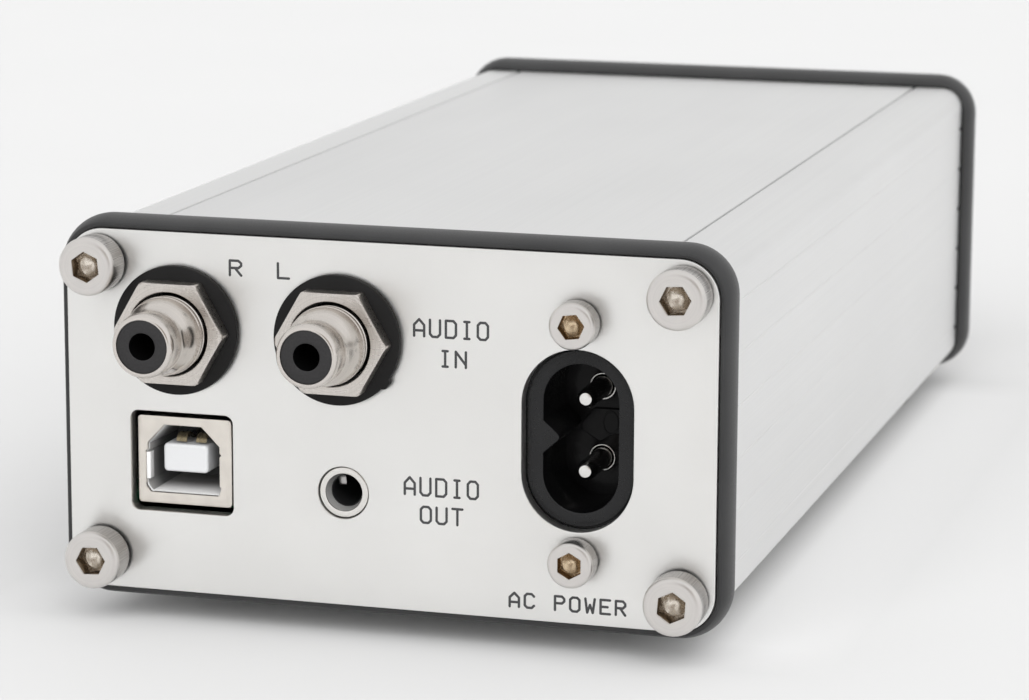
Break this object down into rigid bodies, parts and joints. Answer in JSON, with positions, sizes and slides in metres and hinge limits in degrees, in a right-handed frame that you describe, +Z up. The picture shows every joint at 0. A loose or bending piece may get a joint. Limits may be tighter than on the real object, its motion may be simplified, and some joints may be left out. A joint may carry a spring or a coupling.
{
  "type": "desktop audio converter",
  "caption": "Small desktop digital-to-analogue converter in a grooved extruded aluminium case with black end bezels, rear audio, USB and mains sockets, and a front knob, lever and button.",
  "frame": {"origin": "on the table, centred between the four feet, under the middle of the case", "axes": "+Z up, +Y towards the connector panel at the rear, -Y towards the control panel, +X to the right as seen from the control panel"},
  "size_m": [0.0824, 0.1958, 0.0493],
  "materials": {
    "anodised_aluminium": "clear satin anodise with faint extrusion lines",
    "panel_aluminium": "fine satin anodise with dark filled engraving",
    "bezel_plastic": "fine-textured black moulding",
    "stainless_steel": "turned stainless, satin",
    "nickel_plate": "warm nickel plate",
    "black_plastic": "semi-gloss black moulding",
    "fibre_washer": "matt black insulating washer",
    "tinned_steel": "tin-plated pressed steel",
    "white_plastic": "white glass-filled nylon",
    "gold_contact": "thin gold plate",
    "circuit_board": "green solder mask",
    "lamination_iron": "varnished laminations",
    "winding_tape": "yellow insulating tape",
    "capacitor_sleeve": "dark blue heat-shrink sleeve",
    "chip_epoxy": "black epoxy package",
    "foot_rubber": "soft black rubber",
    "led_lens": "tinted clear lens"
  },
  "bodies": {
    "case": {"body_extrusion": "anodised_aluminium", "converter_chip": "chip_epoxy", "filter_capacitor": "capacitor_sleeve", "foot_1": "foot_rubber", "foot_2": "foot_rubber", "foot_3": "foot_rubber", "foot_4": "foot_rubber", "front_bezel": "bezel_plastic", "front_panel": "panel_aluminium", "front_screw_1": "stainless_steel", "front_screw_2": "stainless_steel", "front_screw_3": "stainless_steel", "front_screw_4": "stainless_steel", "headphone_jack": "black_plastic", "headphone_nut": "nickel_plate", "inlet_nut_1": "stainless_steel", "inlet_nut_2": "stainless_steel", "inlet_pin_1": "nickel_plate", "inlet_pin_2": "nickel_plate", "inlet_screw_1": "stainless_steel", "inlet_screw_2": "stainless_steel", "line_in_left_contact": "nickel_plate", "line_in_left_insulator": "black_plastic", "line_in_left_nut": "nickel_plate", "line_in_left_shell": "nickel_plate", "line_in_left_washer": "fibre_washer", "line_in_right_contact": "nickel_plate", "line_in_right_insulator": "black_plastic", "line_in_right_nut": "nickel_plate", "line_in_right_shell": "nickel_plate", "line_in_right_washer": "fibre_washer", "line_out_jack": "black_plastic", "line_out_ring": "tinned_steel", "main_board": "circuit_board", "mains_fuse_holder": "black_plastic", "mains_inlet": "black_plastic", "output_amplifier": "chip_epoxy", "power_light": "led_lens", "power_switch": "black_plastic", "rear_bezel": "bezel_plastic", "rear_panel": "panel_aluminium", "rear_screw_1": "stainless_steel", "rear_screw_2": "stainless_steel", "rear_screw_3": "stainless_steel", "rear_screw_4": "stainless_steel", "selector_nut": "nickel_plate", "selector_switch": "tinned_steel", "top_cover": "anodised_aluminium", "transformer_core": "lamination_iron", "transformer_winding": "winding_tape", "usb_chip": "chip_epoxy", "usb_contacts": "gold_contact", "usb_insulator": "white_plastic", "usb_shell": "tinned_steel", "voltage_regulator": "chip_epoxy", "volume_control": "tinned_steel"},
    "knob": {"volume_knob": "anodised_aluminium", "volume_shaft": "stainless_steel"},
    "button": {"power_button": "black_plastic"},
    "lever": {"selector_lever": "nickel_plate"}
  },
  "joints": [
    {"name": "volume_turn", "type": "hinge", "parent": "case", "child": "knob", "pos_m": [0.0235, -0.0865, 0.0261], "axis": [0, 1, 0], "range_deg": [-150, 150]},
    {"name": "power_press", "type": "slide", "parent": "case", "child": "button", "axis": [0, 1, 0], "range_m": [0, 0.0025]},
    {"name": "selector_flip", "type": "hinge", "parent": "case", "child": "lever", "pos_m": [-0.0105, -0.0885, 0.0261], "axis": [1, 0, 0], "range_deg": [0, 26]}
  ]
}
